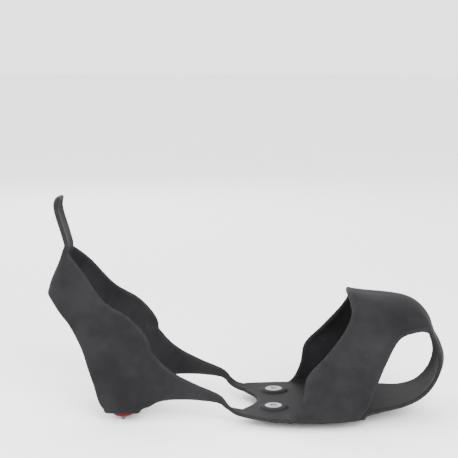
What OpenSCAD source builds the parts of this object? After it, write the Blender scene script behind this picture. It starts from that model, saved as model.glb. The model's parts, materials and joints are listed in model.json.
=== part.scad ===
// Slip-on ice cleat for a shoe or boot: a stretchy rubber harness with a toe cap,
// side bands, heel straps and a pull tab, and screw-in ice studs under the forefoot
// and under the heel.
//
// +X points to the toe, +Y to the left, +Z up. The origin lies under the middle of
// the cleat, in the plane of the stud tips. The harness is the same left and right.

/* [Overall size] */
// Length from the heel flare to the front of the toe
cleat_length = 299; // [250:1:380]
// Width over the two side bands
cleat_width = 108; // [90:1:136]
// Height from the stud tips to the top of the pull tab
cleat_height = 165; // [140:1:205]

/* [Rubber harness] */
// Wall of the bands and straps
wall = 2.8; // [2:0.1:4]
// Thickness of the forefoot plate
plate_thick = 3; // [2.4:0.1:4]
// Thickness of the heel bar
bar_thick = 4.5; // [4:0.1:6]
// Length of the heel bar, front to back
bar_length = 30; // [26:1:38]
// Distance between the outsides of the heel webs
heel_width = 75; // [62:1:90]
// Thickness of the rubber around each stud
boss_thick = 5; // [4.4:0.1:7]
// Diameter of the boss around each stud
boss_dia = 20; // [17:0.5:24]
// Width of the pull tab
tab_width = 28; // [22:1:34]
// Thickness of the pull tab
tab_thick = 3.2; // [2.6:0.1:4]
// Width of the toe strap where it crosses the front of the toe
toe_strap_width = 44; // [34:1:52]

/* [Studs] */
// Diameter of the stud disc
disc_dia = 15; // [12:0.5:17]
// Height of the straight rim of the disc
disc_rim = 1; // [0.6:0.1:1.6]
// Height of the dome below the rim
disc_dome = 2.9; // [2:0.1:4]
// Diameter of the steel pin that shows below the disc
pin_dia = 3.8; // [3:0.1:5]
// How far the steel pin stands below the disc
pin_height = 1.4; // [0.8:0.1:2.5]
// Diameter of the hard tip
tip_dia = 2.4; // [1.8:0.1:2.8]
// How far the tip stands below the steel pin
tip_height = 1.2; // [0.8:0.1:2]
// Diameter of the spike's shank
shank_dia = 4.4; // [4:0.1:5]
// Outer diameter of the insert's sleeve
sleeve_dia = 7.4; // [6.6:0.1:9]
// Diameter of the insert's flange
flange_dia = 13; // [11:0.5:15]
// Thickness of the insert's flange
flange_thick = 1.4; // [1:0.1:1.8]
// Distance between the two studs under the toes
toe_stud_gap = 40; // [30:1:50]
// Distance between the two studs under the ball of the foot
ball_stud_gap = 46; // [36:1:56]
// Distance between the two studs under the heel
heel_stud_gap = 50; // [32:1:56]

/* [Clearances] */
// Gap around a stud part in its bore
bore_gap = 0.05; // [0.02:0.01:0.1]
// Gap between pieces that move against each other
move_gap = 0.4; // [0.3:0.05:0.8]
// Gap left in each arch strap for the sole to flex
flex_gap = 3; // [2.6:0.1:5]

/* [Hidden] */
$fn = 96;
rubber = [0.15, 0.15, 0.16];
disc_red = [0.78, 0.12, 0.08];
steel = [0.66, 0.66, 0.68];
carbide = [0.38, 0.38, 0.40];

// The curved pieces are drawn on a cleat of this size and stretched to the size above.
DRAWN_LENGTH = 299;
DRAWN_WIDTH = 108;
DRAWN_HEIGHT = 165;
DRAWN_SOLE = 8;

// Heights, counted up from the stud tips.
disc_low = tip_height + pin_height;
sole_low = disc_low + disc_dome + disc_rim;
sole_mid = sole_low + plate_thick / 2;
plate_top = sole_low + plate_thick;
boss_top = sole_low + boss_thick;
bar_top = sole_low + bar_thick;

// The side bands stand on a ledge just below the plate's top.
ledge_depth = 0.3;
ledge_top = plate_top - ledge_depth;

stretch_x = cleat_length / DRAWN_LENGTH;
stretch_y = cleat_width / DRAWN_WIDTH;
stretch_z = (cleat_height - sole_mid) / (DRAWN_HEIGHT - DRAWN_SOLE);

function height(z) = sole_mid + (z - DRAWN_SOLE) * stretch_z;
function place(p) = [p.x * stretch_x, p.y * stretch_y, height(p.z)];

// The heel studs keep their discs and flanges clear of the webs.
stud_room = 1;
heel_gap = min(heel_stud_gap, heel_width - 2 * wall - max(disc_dia, flange_dia) - stud_room);

// Where the studs stand: name, place along the cleat, side and distance apart.
STUDS = [
    ["toe_right", 68, -1, toe_stud_gap],
    ["toe_left", 68, 1, toe_stud_gap],
    ["ball_right", 22, -1, ball_stud_gap],
    ["ball_left", 22, 1, ball_stud_gap],
    ["heel_right", -90, -1, heel_gap],
    ["heel_left", -90, 1, heel_gap]
];
function stud_spot(stud) = [stud[1] * stretch_x, stud[2] * stud[3] / 2, 0];
function is_front(stud) = stud[1] > 0;

// ---------------------------------------------------------------- curves and sheets

// A point on the smooth curve through the points p, t from 0 to len(p) - 1.
function curve(p, t) =
    let (
        last = len(p) - 1,
        i = min(floor(t), last - 1),
        u = t - i,
        b = p[i],
        c = p[i + 1],
        a = i > 0 ? p[i - 1] : 2 * b - c,
        d = i + 2 <= last ? p[i + 2] : 2 * c - b
    )
    b + u * (c - a) / 2 + u * u * (a - 2.5 * b + 2 * c - d / 2) + u * u * u * (1.5 * (b - c) + (d - a) / 2);

// Points along the curve through p, with a number of steps between two of its points.
function along(p, steps) = [for (k = [0:(len(p) - 1) * steps]) curve(p, k / steps)];

// A fine net of points from a coarse one.
function refine(net, across, down) =
    let (wide = [for (row = net) along(row, across)])
    [for (k = [0:(len(net) - 1) * down]) [for (j = [0:len(wide[0]) - 1])
        curve([for (row = wide) row[j]], k / down)]];

function unit(v) = v / norm(v);
function normal_at(net, i, j) =
    let (
        rows = len(net) - 1,
        cols = len(net[0]) - 1,
        du = net[i][min(j + 1, cols)] - net[i][max(j - 1, 0)],
        dv = net[min(i + 1, rows)][j] - net[max(i - 1, 0)][j]
    )
    unit(cross(du, dv));
function normals(net) = [for (i = [0:len(net) - 1]) [for (j = [0:len(net[0]) - 1]) normal_at(net, i, j)]];
function pick(list, from, to) = [for (i = [from:to]) list[i]];
function flip_y(row) = [for (p = row) [p.x, -p.y, p.z]];
// A net of one side becomes a net of both, its first row being the middle one.
function both_sides(net) = concat([for (i = [len(net) - 1:-1:1]) flip_y(net[i])], net);

// A wall of even thickness with the net as its middle.
module sheet(net, out) {
    rows = len(net);
    cols = len(net[0]);
    half = rows * cols;
    points = [for (s = [-0.5, 0.5]) for (i = [0:rows - 1]) for (j = [0:cols - 1])
        net[i][j] + s * wall * out[i][j]];
    inner = [for (i = [0:rows - 2]) for (j = [0:cols - 2])
        let (k = i * cols + j) [k, k + 1, k + 1 + cols, k + cols]];
    outer = [for (c = inner) [c[3] + half, c[2] + half, c[1] + half, c[0] + half]];
    rim = concat(
        [for (j = [0:cols - 1]) j],
        [for (i = [1:rows - 1]) i * cols + cols - 1],
        [for (j = [cols - 2:-1:0]) (rows - 1) * cols + j],
        [for (i = [rows - 2:-1:1]) i * cols]
    );
    edge = [for (k = [0:len(rim) - 1])
        let (a = rim[k], b = rim[(k + 1) % len(rim)]) [b, a, a + half, b + half]];
    faces = concat(inner, outer, edge);
    polyhedron(points, [for (f = faces) each [[f[0], f[1], f[2]], [f[0], f[2], f[3]]]]);
}

// ---------------------------------------------------------------- forefoot plate

// The right half of the plate's outline, in three stretches that meet at corners:
// the rear edge from the middle outwards, then the side edge forward.
PLATE_REAR = [[9, 0], [7.5, -9], [3.5, -18], [-2, -27]];
PLATE_SIDE = [[-2, -42], [9, -47], [24, -51.2], [41, -53.4], [56, -53.8], [70, -52.6], [80, -50], [88, -46]];
EDGE_STEPS = 4;
plate_half = concat(along(PLATE_REAR, EDGE_STEPS), along(PLATE_SIDE, EDGE_STEPS));
plate_left = [for (i = [len(plate_half) - 1:-1:1]) [plate_half[i].x, -plate_half[i].y]];

// The hole that an insert fills, from the rubber's lower face up.
module insert_hole(top) {
    translate([0, 0, sole_low - 1]) cylinder(d = sleeve_dia + 2 * bore_gap, h = top - sole_low + 2);
    translate([0, 0, top - flange_thick]) cylinder(d = flange_dia + 2 * bore_gap, h = flange_thick + 1);
}

module forefoot_plate() {
    color(rubber) difference() {
        union() {
            translate([0, 0, sole_low]) linear_extrude(plate_thick)
                polygon([for (p = concat(plate_half, plate_left)) [p.x * stretch_x, p.y * stretch_y]]);
            for (stud = STUDS) if (is_front(stud))
                translate(stud_spot(stud) + [0, 0, sole_low]) cylinder(d = boss_dia, h = boss_thick);
        }
        for (stud = STUDS) if (is_front(stud)) translate(stud_spot(stud)) insert_hole(boss_top);
        band_ledge();
        mirror([0, 1, 0]) band_ledge();
    }
}

// ---------------------------------------------------------------- toe cap and side bands

// Rows run from the top middle down the right side, each from the rear edge forward.
CAP_ROWS = [
    [[77, 0, 95], [92, 0, 94], [106, 0, 92], [120, 0, 89.5], [130, 0, 84.5], [137, 0, 75], [141, 0, 64]],
    [[77, -11, 94], [92, -11, 93.5], [106, -11, 91.5], [120, -11, 88.5], [129, -11, 83.5], [136, -11, 74.5],
        [140, -11, 64]],
    [[77, -22, 90], [91, -22, 90], [105, -22, 88.5], [118, -22, 85.5], [127, -22, 80.5], [133.5, -22, 74],
        [138, -22, 65.5]],
    [[77, -33, 82], [87, -33, 82], [98, -33, 81.5], [108, -33, 80], [117, -33, 77.5], [124, -32.5, 74],
        [129.5, -31.5, 69]],
    [[72, -42, 70], [79, -43, 71], [87, -43.5, 71.5], [94, -43.5, 71], [101, -43.5, 70.5], [107, -43, 69],
        [112.5, -41.5, 66.5]],
    [[59, -48.5, 54], [66, -50, 55], [73, -51, 55.5], [81, -51, 55], [88, -50.5, 54], [95, -49.5, 52.5],
        [102.5, -47.5, 50]],
    [[46, -51, 40], [54, -52, 40], [62, -52.6, 40], [71, -52.6, 39], [80, -52, 38], [89, -51, 36.5],
        [97, -49, 34.5]],
    [[43, -52, 25], [51, -52.6, 25], [59, -52.6, 25], [68, -52.6, 24.5], [77, -52, 24], [86, -51, 23.5],
        [93, -48.5, 23]],
    [[40, -51.5, 9.5], [48, -52, 9.5], [56, -52.2, 9.5], [64, -51.8, 9.5], [71, -50.8, 9.5], [78, -49, 9.5],
        [84, -46.6, 9.5]]
];
CAP_STEPS = 3;
// The row where the toe cap ends and the side band begins.
BAND_ROW = 4;
// The last row that ends on the toe strap.
STRAP_ROW = 2;

// The rows that end on the toe strap move with its width.
function cap_y(p, row) = row <= STRAP_ROW ? -row / STRAP_ROW * toe_strap_width / 2 : p.y * stretch_y;
// The lowest row stands on the plate's ledge.
function cap_z(p, row) = row == len(CAP_ROWS) - 1 ? ledge_top : height(p.z);
function cap_point(p, row) = [p.x * stretch_x, cap_y(p, row), cap_z(p, row)];
cap_half = [for (i = [0:len(CAP_ROWS) - 1]) [for (p = CAP_ROWS[i]) cap_point(p, i)]];
cap_net = refine(both_sides(cap_half), CAP_STEPS, CAP_STEPS);
cap_normals = normals(cap_net);
cap_last = len(cap_net) - 1;
cap_middle = cap_last / 2;
// The wall stands upright where it meets the plate.
cap_out = [for (i = [0:cap_last]) [for (n = cap_normals[i])
    i == 0 || i == cap_last ? unit([n.x, n.y, 0]) : n]];

// What is cut from the plate's right side to make the ledge.
module band_ledge() {
    foot = cap_net[cap_last];
    clear = wall / 2 + bore_gap;
    outside = -cleat_width;
    translate([0, 0, ledge_top]) linear_extrude(2 * ledge_depth) polygon(concat(
        [for (p = foot) [p.x, p.y + clear]],
        [[foot[len(foot) - 1].x + wall, foot[len(foot) - 1].y], [foot[len(foot) - 1].x + wall, outside]],
        [[foot[0].x - wall, outside], [foot[0].x - wall, foot[0].y + clear]]
    ));
}

module cap_part(from, to) {
    sheet(pick(cap_net, from, to), pick(cap_out, from, to));
}

module toe_cap() {
    reach = BAND_ROW * CAP_STEPS;
    color(rubber) cap_part(cap_middle - reach, cap_middle + reach);
}

module side_band_right() {
    color(rubber) cap_part(cap_middle + BAND_ROW * CAP_STEPS, cap_last);
}

module side_band_left() {
    mirror([0, 1, 0]) side_band_right();
}

// ---------------------------------------------------------------- toe strap

// Rows climb from the plate's front edge round the toe to the cap. Each row is half
// the strap, from the middle to the right edge.
STRAP_ROWS = [
    [[88, 0, 8], [88, -22, 8], [88, -44, 8]],
    [[103, 0, 8.5], [103, -20, 8.6], [102, -38, 8.8]],
    [[118, 0, 11.5], [118, -16, 11.7], [116.5, -31, 12]],
    [[131.5, 0, 17], [131, -13, 17], [129.5, -26, 17.2]],
    [[141.5, 0, 25], [141, -12, 25], [138.5, -23.5, 25]],
    [[147, 0, 35], [146.5, -11, 35], [144, -22, 35]],
    [[148.1, 0, 45.5], [147.5, -11, 45.5], [144.5, -22, 45.5]],
    [[145.5, 0, 55.5], [144.8, -11, 55.5], [142, -22, 55.5]]
];
DRAWN_STRAP_WIDTH = 44;
// How much of the strap's own width a row follows: none at the plate, all at the cap.
function strap_share(row) = row / len(STRAP_ROWS);
function strap_y(p, row) =
    p.y * (stretch_y + strap_share(row) * (toe_strap_width / DRAWN_STRAP_WIDTH - stretch_y));
function strap_point(p, row) = [p.x * stretch_x, strap_y(p, row), height(p.z)];
function mirrored_row(row) = concat(flip_y([row[2], row[1]]), row);
strap_lower = [for (i = [0:len(STRAP_ROWS) - 1])
    along(mirrored_row([for (p = STRAP_ROWS[i]) strap_point(p, i)]), CAP_STEPS)];
// The strap ends on the cap's front edge.
cap_front_rows = [cap_middle - STRAP_ROW * CAP_STEPS:cap_middle + STRAP_ROW * CAP_STEPS];
cap_front = [for (i = cap_front_rows) cap_net[i][len(cap_net[0]) - 1]];
cap_front_out = [for (i = cap_front_rows) cap_out[i][len(cap_net[0]) - 1]];
strap_net = refine(concat(strap_lower, [cap_front]), 1, 2);
strap_normals = normals(strap_net);
strap_last = len(strap_net) - 1;
// The strap leaves the plate level and meets the cap edge to edge.
function same_way(a, b) = a * sign(a * b);
strap_out = [for (i = [0:strap_last]) [for (j = [0:len(cap_front) - 1])
    let (n = strap_normals[i][j])
    i == 0 ? [0, 0, sign(n.z)] : i == strap_last ? same_way(cap_front_out[j], n) : n]];

module toe_strap() {
    color(rubber) sheet(strap_net, strap_out);
}

// ---------------------------------------------------------------- arch straps

web_y = (heel_width - wall) / 2;
flex_x = -18.5 * stretch_x;
// From the plate's rear corner back to the flex gap. The outer edge turns up the
// side, the inner edge stays low.
ARCH_ROWS = [
    [[-2, -42, 8], [-2, -34.5, 8], [-2, -27, 8]],
    [[-7, -41, 10], [-7, -34.5, 9.2], [-7, -28.5, 9]],
    [[-12, -39, 15], [-12, -35, 12.2], [-12, -32, 10.5]]
];
// Heights of the straps' edges and middle where they flex.
FLEX_HEIGHTS = [24, 19.5, 15];
arch_end = [for (z = FLEX_HEIGHTS) [flex_x + flex_gap / 2, -web_y, height(z)]];
arch_net = refine(concat([for (row = ARCH_ROWS) [for (p = row) place(p)]], [arch_end]), 3, 4);
arch_normals = normals(arch_net);
arch_last = len(arch_net) - 1;
arch_out = [for (i = [0:arch_last]) [for (n = arch_normals[i])
    i == 0 ? [0, 0, sign(n.z)] : i == arch_last ? [0, sign(n.y), 0] : n]];

module arch_strap_right() {
    color(rubber) sheet(arch_net, arch_out);
}

module arch_strap_left() {
    mirror([0, 1, 0]) arch_strap_right();
}

// ---------------------------------------------------------------- heel bar and webs

heel_x = -90 * stretch_x;
// The heel straps swing about this line, and the webs end on an arc around it.
swing = [heel_x - 2, 0, height(16)];
swing_radius = 23;
BAR_ROUND = 4;

// The bar's outline seen from the side, with its lower corners rounded.
module bar_side(high) {
    intersection() {
        union() {
            for (side = [-1, 1])
                translate([side * (bar_length / 2 - BAR_ROUND), BAR_ROUND]) circle(BAR_ROUND);
            translate([-bar_length / 2, BAR_ROUND]) square([bar_length, high]);
            translate([-bar_length / 2 + BAR_ROUND, 0]) square([bar_length - 2 * BAR_ROUND, high]);
        }
        translate([-bar_length / 2, 0]) square([bar_length, high]);
    }
}

// Turns a drawing in X and Y up into the plane of X and Z, centred on y = 0.
module upright(thick) {
    rotate([90, 0, 0]) translate([0, 0, -thick / 2]) linear_extrude(thick) children();
}

module heel_bar() {
    inside = heel_width - 2 * wall;
    color(rubber) difference() {
        union() {
            translate([heel_x, 0, sole_low]) upright(inside) bar_side(bar_thick);
            intersection() {
                for (stud = STUDS) if (!is_front(stud))
                    translate(stud_spot(stud) + [0, 0, sole_low]) cylinder(d = boss_dia, h = boss_thick);
                translate([heel_x, 0, sole_low]) upright(inside) bar_side(boss_thick);
            }
        }
        for (stud = STUDS) if (!is_front(stud)) translate(stud_spot(stud)) insert_hole(boss_top);
    }
}

// The web's lower edge, from the flex gap back to the heel bar.
WEB_LOWER = [[-36, 16.8], [-52, 17.3], [-63, 16.2], [-71, 12]];
// Its upper edge, from the flex gap back to the heel strap.
WEB_UPPER = [[-36, 31.5], [-51, 39.5], [-62, 48], [-68.5, 57.5]];
web_front = flex_x - flex_gap / 2;
function web_point(p) = [p.x * stretch_x, height(p.y)];
web_lower = along(concat([[web_front, arch_end[2].z]], [for (p = WEB_LOWER) web_point(p)]), EDGE_STEPS);
web_upper = along(concat([[web_front, arch_end[0].z]], [for (p = WEB_UPPER) web_point(p)]), EDGE_STEPS);
web_peak = web_upper[len(web_upper) - 1];
// The arc that faces the heel strap, in degrees up from the front.
ARC_REAR = 150;
ARC_FRONT = 22;
ARC_STEPS = 32;
CORNER_STEPS = 8;
// How far the web reaches behind the bar below the arc.
WEB_HEEL = 17;

function arc(x, z, radius, from, to, steps) = [for (k = [0:steps])
    let (angle = from + (to - from) * k / steps)
    [x + radius * cos(angle), z + radius * sin(angle)]];

// The taut web behind the arch, the end of the bar, and the ear that rises from it.
module web_outline() {
    corner_z = sole_low + BAR_ROUND;
    corner_x = bar_length / 2 - BAR_ROUND;
    polygon(concat(
        web_lower,
        arc(heel_x + corner_x, corner_z, BAR_ROUND, 0, -90, CORNER_STEPS),
        arc(heel_x - corner_x, corner_z, BAR_ROUND, -90, -180, CORNER_STEPS),
        [[swing.x - WEB_HEEL, swing.z]],
        arc(swing.x, swing.z, swing_radius, ARC_REAR, ARC_FRONT, ARC_STEPS),
        [[web_peak.x - 1, web_peak.y]],
        [for (i = [len(web_upper) - 1:-1:0]) web_upper[i]]
    ));
}

module heel_web_right() {
    color(rubber) translate([0, -web_y, 0]) upright(wall) web_outline();
}

module heel_web_left() {
    mirror([0, 1, 0]) heel_web_right();
}

// ---------------------------------------------------------------- heel straps

// Rows climb from the web's arc to the middle of the back. Each runs from the rear
// or lower edge to the front or upper edge.
HEEL_ROWS = [
    [[-114.5, -36.1, 40], [-104, -36.3, 47], [-93, -36.3, 50], [-81, -36.3, 49], [-71.5, -36.1, 45]],
    [[-119, -35, 55], [-109, -36.3, 61], [-97, -37, 64], [-84, -37, 63], [-71, -36.5, 59]],
    [[-128, -28, 70], [-118, -33, 76], [-107, -35.5, 79], [-95, -36, 80], [-84, -36, 76]],
    [[-138, -18, 79.5], [-130, -25, 87], [-121, -30, 92], [-111, -33, 94], [-102, -34, 90]],
    [[-144.5, -9, 86], [-139, -16, 95], [-133, -21, 103], [-126, -24, 109], [-119.5, -25, 112]],
    [[-147, -4.5, 88.5], [-144, -8.5, 98], [-139.5, -11.5, 107.5], [-135.5, -13.5, 117],
        [-132.5, -14, 125.4]],
    [[-148, 0, 90], [-145.5, 0, 98.5], [-141.5, 0, 108], [-137, 0, 117], [-134, 0, 125.4]]
];
HEEL_STEPS = 3;
// The row where the side strap ends and the back strap begins.
BACK_ROW = 4;
DRAWN_WEB_Y = 36.1;
heel_stretch = web_y / DRAWN_WEB_Y;
arc_radius = swing_radius + move_gap;
STRAP_FRONT = 30;
function arc_row(steps) = [for (p = arc(swing.x, swing.z, arc_radius, ARC_REAR, STRAP_FRONT, steps))
    [p.x, -web_y, p[1]]];
back_top = height(125.4);
heel_half = concat(
    [arc_row(len(HEEL_ROWS[0]) - 1)],
    [for (row = HEEL_ROWS) [for (p = row) [p.x * stretch_x, p.y * heel_stretch, height(p.z)]]]
);
heel_fine = refine([for (i = [len(heel_half) - 1:-1:0]) heel_half[i]], HEEL_STEPS, HEEL_STEPS);
// The last row follows the arc, and nothing rises above the edge under the pull tab.
heel_net = concat(
    [for (i = [0:len(heel_fine) - 2]) [for (p = heel_fine[i]) [p.x, p.y, min(p.z, back_top)]]],
    [arc_row(len(heel_fine[0]) - 1)]
);
back_net = both_sides(heel_net);
back_normals = normals(back_net);
back_last = len(back_net) - 1;
back_middle = back_last / 2;
back_edge = len(back_net[0]) - 1;
// The wall is upright at the arcs and level along its upper edge at the back.
back_out = [for (i = [0:back_last]) [for (j = [0:back_edge])
    let (n = back_normals[i][j])
    i == 0 || i == back_last ? [0, sign(n.y), 0] : j == back_edge ? unit([n.x, n.y, 0]) : n]];
back_reach = (len(heel_half) - 1 - BACK_ROW) * HEEL_STEPS;

module heel_part(from, to) {
    sheet(pick(back_net, from, to), pick(back_out, from, to));
}

module heel_strap_right() {
    color(rubber) heel_part(back_middle + back_reach, back_last);
}

module heel_strap_left() {
    mirror([0, 1, 0]) heel_strap_right();
}

module back_strap() {
    color(rubber) heel_part(back_middle - back_reach, back_middle + back_reach);
}

// ---------------------------------------------------------------- pull tab

// The middle line of the tab seen from the side, from its hinge line up.
TAB_LINE = [[-133.6, 127.6], [-134, 133], [-136, 140], [-138.6, 147.5], [-140.4, 154], [-140.8, 160],
    [-139.2, 166.5]];
tab_axis = [TAB_LINE[0].x * stretch_x, back_top + move_gap + tab_thick / 2];
tab_low = tab_axis.y - height(TAB_LINE[0].y);
tab_line = along([for (p = TAB_LINE) [p.x * stretch_x, height(p.y) + tab_low]], EDGE_STEPS);
TAB_ROUND = 9;

function line_side(line, i) =
    let (d = unit(line[min(i + 1, len(line) - 1)] - line[max(i - 1, 0)])) [d.y, -d.x];

module tab_side() {
    polygon(concat(
        [for (i = [0:len(tab_line) - 1]) tab_line[i] + line_side(tab_line, i) * tab_thick / 2],
        [for (i = [len(tab_line) - 1:-1:0]) tab_line[i] - line_side(tab_line, i) * tab_thick / 2]
    ));
    translate(tab_axis) circle(d = tab_thick);
}

// The tab seen from behind: straight sides and a round-cornered top.
module tab_face() {
    low = tab_axis.y - tab_thick;
    translate([-tab_width / 2, low]) square([tab_width, cleat_height - TAB_ROUND - low]);
    translate([-tab_width / 2 + TAB_ROUND, low]) square([tab_width - 2 * TAB_ROUND, cleat_height - low]);
    for (side = [-1, 1])
        translate([side * (tab_width / 2 - TAB_ROUND), cleat_height - TAB_ROUND]) circle(TAB_ROUND);
}

module pull_tab() {
    color(rubber) intersection() {
        upright(tab_width + 2) tab_side();
        rotate([90, 0, 90]) translate([0, 0, -cleat_length]) linear_extrude(cleat_length) tab_face();
    }
}

// ---------------------------------------------------------------- studs

insert_recess = 0.2;
insert_low = sole_low + insert_recess;
shank_recess = 0.6;
shank_top = boss_top - shank_recess;
collar_dia = 7;
collar_thick = 1;
collar_low = disc_low + 1;
tip_seat = 3;
tip_bevel = 0.3;

// The flanged insert that the spike screws into, pressed in from the foot's side.
module stud_insert() {
    color(steel) difference() {
        union() {
            translate([0, 0, insert_low]) cylinder(d = sleeve_dia, h = boss_top - insert_low);
            translate([0, 0, boss_top - flange_thick]) cylinder(d = flange_dia, h = flange_thick);
        }
        translate([0, 0, insert_low - 1]) cylinder(d = shank_dia + 2 * bore_gap, h = boss_thick + 2);
    }
}

// The steel spike: a pin, a collar held in the disc and a shank.
module spike_body(gap = 0) {
    translate([0, 0, tip_height - gap]) cylinder(d = pin_dia + 2 * gap, h = collar_low - tip_height + gap);
    translate([0, 0, collar_low - gap]) cylinder(d = collar_dia + 2 * gap, h = collar_thick + 2 * gap);
    translate([0, 0, collar_low]) cylinder(d = shank_dia + 2 * gap, h = shank_top - collar_low);
}

// The red disc: flat on top, domed below, closed around the spike's collar.
module stud_disc() {
    dome_radius = (pow(disc_dia / 2, 2) + pow(disc_dome, 2)) / (2 * disc_dome);
    color(disc_red) difference() {
        intersection() {
            translate([0, 0, disc_low + dome_radius]) sphere(dome_radius, $fn = 160);
            translate([0, 0, disc_low - 1]) cylinder(d = disc_dia, h = sole_low - disc_low + 1);
        }
        spike_body(bore_gap);
    }
}

module stud_spike() {
    color(steel) difference() {
        spike_body();
        translate([0, 0, tip_height - 1]) cylinder(d = tip_dia + 2 * bore_gap, h = tip_seat + 1);
    }
}

module stud_tip() {
    color(carbide) {
        cylinder(d1 = tip_dia - 2 * tip_bevel, d2 = tip_dia, h = tip_bevel);
        translate([0, 0, tip_bevel]) cylinder(d = tip_dia, h = tip_height + tip_seat - tip_bevel);
    }
}

// ---------------------------------------------------------------- the pieces

forefoot_plate();
toe_cap();
toe_strap();
side_band_right();
side_band_left();
arch_strap_right();
arch_strap_left();
heel_bar();
heel_web_right();
heel_web_left();
heel_strap_right();
heel_strap_left();
back_strap();
pull_tab();
for (stud = STUDS) {
    translate(stud_spot(stud)) stud_insert();
    translate(stud_spot(stud)) stud_disc();
    translate(stud_spot(stud)) stud_spike();
    translate(stud_spot(stud)) stud_tip();
}
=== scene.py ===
"""Slip-on ice cleat: the looks of the rubber harness and its studs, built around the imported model.

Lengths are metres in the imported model's frame: +X to the toe, +Y to the left, +Z up. The points
that shape the harness are written in millimetres on a cleat 299 mm long, 108 mm wide and 165 mm
high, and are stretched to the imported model's own box.
"""

import json
import math

import bmesh
import bpy
from bpy.props import FloatProperty, FloatVectorProperty, IntProperty, PointerProperty
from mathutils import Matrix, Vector


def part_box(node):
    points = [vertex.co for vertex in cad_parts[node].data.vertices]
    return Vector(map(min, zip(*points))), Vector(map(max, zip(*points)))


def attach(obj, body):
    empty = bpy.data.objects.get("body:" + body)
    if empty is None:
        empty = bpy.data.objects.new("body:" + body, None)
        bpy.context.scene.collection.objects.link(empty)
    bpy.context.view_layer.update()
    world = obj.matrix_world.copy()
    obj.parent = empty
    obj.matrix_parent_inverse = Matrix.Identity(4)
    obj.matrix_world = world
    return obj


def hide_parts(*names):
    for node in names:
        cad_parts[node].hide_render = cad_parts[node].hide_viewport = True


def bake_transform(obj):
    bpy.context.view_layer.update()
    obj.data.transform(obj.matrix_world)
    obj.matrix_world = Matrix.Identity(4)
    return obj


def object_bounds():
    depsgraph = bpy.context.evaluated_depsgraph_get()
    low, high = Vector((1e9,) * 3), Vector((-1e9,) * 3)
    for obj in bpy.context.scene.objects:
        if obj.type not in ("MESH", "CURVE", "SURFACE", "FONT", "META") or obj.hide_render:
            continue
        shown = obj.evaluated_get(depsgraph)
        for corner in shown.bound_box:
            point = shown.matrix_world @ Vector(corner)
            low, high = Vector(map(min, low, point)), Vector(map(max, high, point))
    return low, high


bl_info = {
    "name": "Slip-on Ice Cleat",
    "version": (1, 0, 0),
    "blender": (4, 5, 0),
    "location": "View3D > Sidebar > Ice Cleat",
    "description": "Builds a stretch rubber ice cleat with red stud discs and steel spikes",
    "category": "Add Mesh",
}

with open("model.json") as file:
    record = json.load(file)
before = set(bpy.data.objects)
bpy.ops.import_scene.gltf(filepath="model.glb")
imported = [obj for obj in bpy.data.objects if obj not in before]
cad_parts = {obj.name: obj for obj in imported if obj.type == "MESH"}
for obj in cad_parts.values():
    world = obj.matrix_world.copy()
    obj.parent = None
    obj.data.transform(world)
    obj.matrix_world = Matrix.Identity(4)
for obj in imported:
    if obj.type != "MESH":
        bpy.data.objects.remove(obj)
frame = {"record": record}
CAD_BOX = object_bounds()

MM = 0.001
STUDS = ("toe_right", "toe_left", "ball_right", "ball_left", "heel_right", "heel_left")
HEEL_STUDS = ("heel_right", "heel_left")

# ------------------------------------------------------------------ sizes taken from the frame

DRAWN_LENGTH = 299
DRAWN_WIDTH = 108
DRAWN_SOLE = 8
DRAWN_RISE = 157

SOLE_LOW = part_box("heel_bar")[0].z
PLATE_TOP = frame["record"]["mounts"][0]["pos_m"][2]
SOLE_MID = (SOLE_LOW + PLATE_TOP) / 2
STRETCH = Vector((
    (CAD_BOX[1].x - CAD_BOX[0].x) / DRAWN_LENGTH,
    (CAD_BOX[1].y - CAD_BOX[0].y) / DRAWN_WIDTH,
    (CAD_BOX[1].z - SOLE_MID) / DRAWN_RISE,
))


def place(point):
    """A drawn point, in millimetres, as a place in the frame."""
    x, y, z = point
    return Vector((x * STRETCH.x, y * STRETCH.y, SOLE_MID + (z - DRAWN_SOLE) * STRETCH.z))


def stud_centre(stud):
    """The place of a stud's axis, on the ground."""
    low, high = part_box(stud + "_tip")
    return Vector(((low.x + high.x) / 2, (low.y + high.y) / 2, 0))


def half_width(node):
    """Half of a node's size along X, so the radius of a stud's piece."""
    low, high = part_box(node)
    return (high.x - low.x) / 2


# The insert's sleeve and flange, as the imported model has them.
SLEEVE_RADIUS = 3.7 * MM
FLANGE_THICKNESS = 1.4 * MM
# The insert's bore and the spike's shank, each 0.05 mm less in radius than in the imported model.
INSERT_BORE = 2.2 * MM
SHANK_RADIUS = 2.15 * MM
# The pin's wall round the hard tip, and the disc's hole round the pin.
PIN_WALL = 0.7 * MM
DISC_HOLE = 1.95 * MM
# How finely the rubber's sheets, beads and bores are divided.
SHEET_STEP = 2.5 * MM
BEAD_STEPS = 10
BORE_SIDES = 64
# How far a bore runs past the rubber, the heel bar into its top and a boss into the plate.
BORE_OVERRUN = 2 * MM
BAR_OVERLAP = 1.5 * MM
BOSS_SINK = 1 * MM
# Points of a turned piece that are closer than this are one.
WELD = 1e-6
# The outward turn of the rubber that counts as a full edge, and how often the mask is spread.
RIM_FULL_TURN = 0.09 * MM
RIM_SPREADS = 3
# The bends of a turned piece from which an edge is bevelled, and from which its edge mask is full.
SHARP_ANGLE = math.radians(24)
FULL_EDGE_ANGLE = math.radians(40)
# Where the rubber is parted into three pieces, in drawn millimetres.
WEB_PARTING = -54
TAB_PARTING = 120

# ------------------------------------------------------------------ the harness's shape

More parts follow.
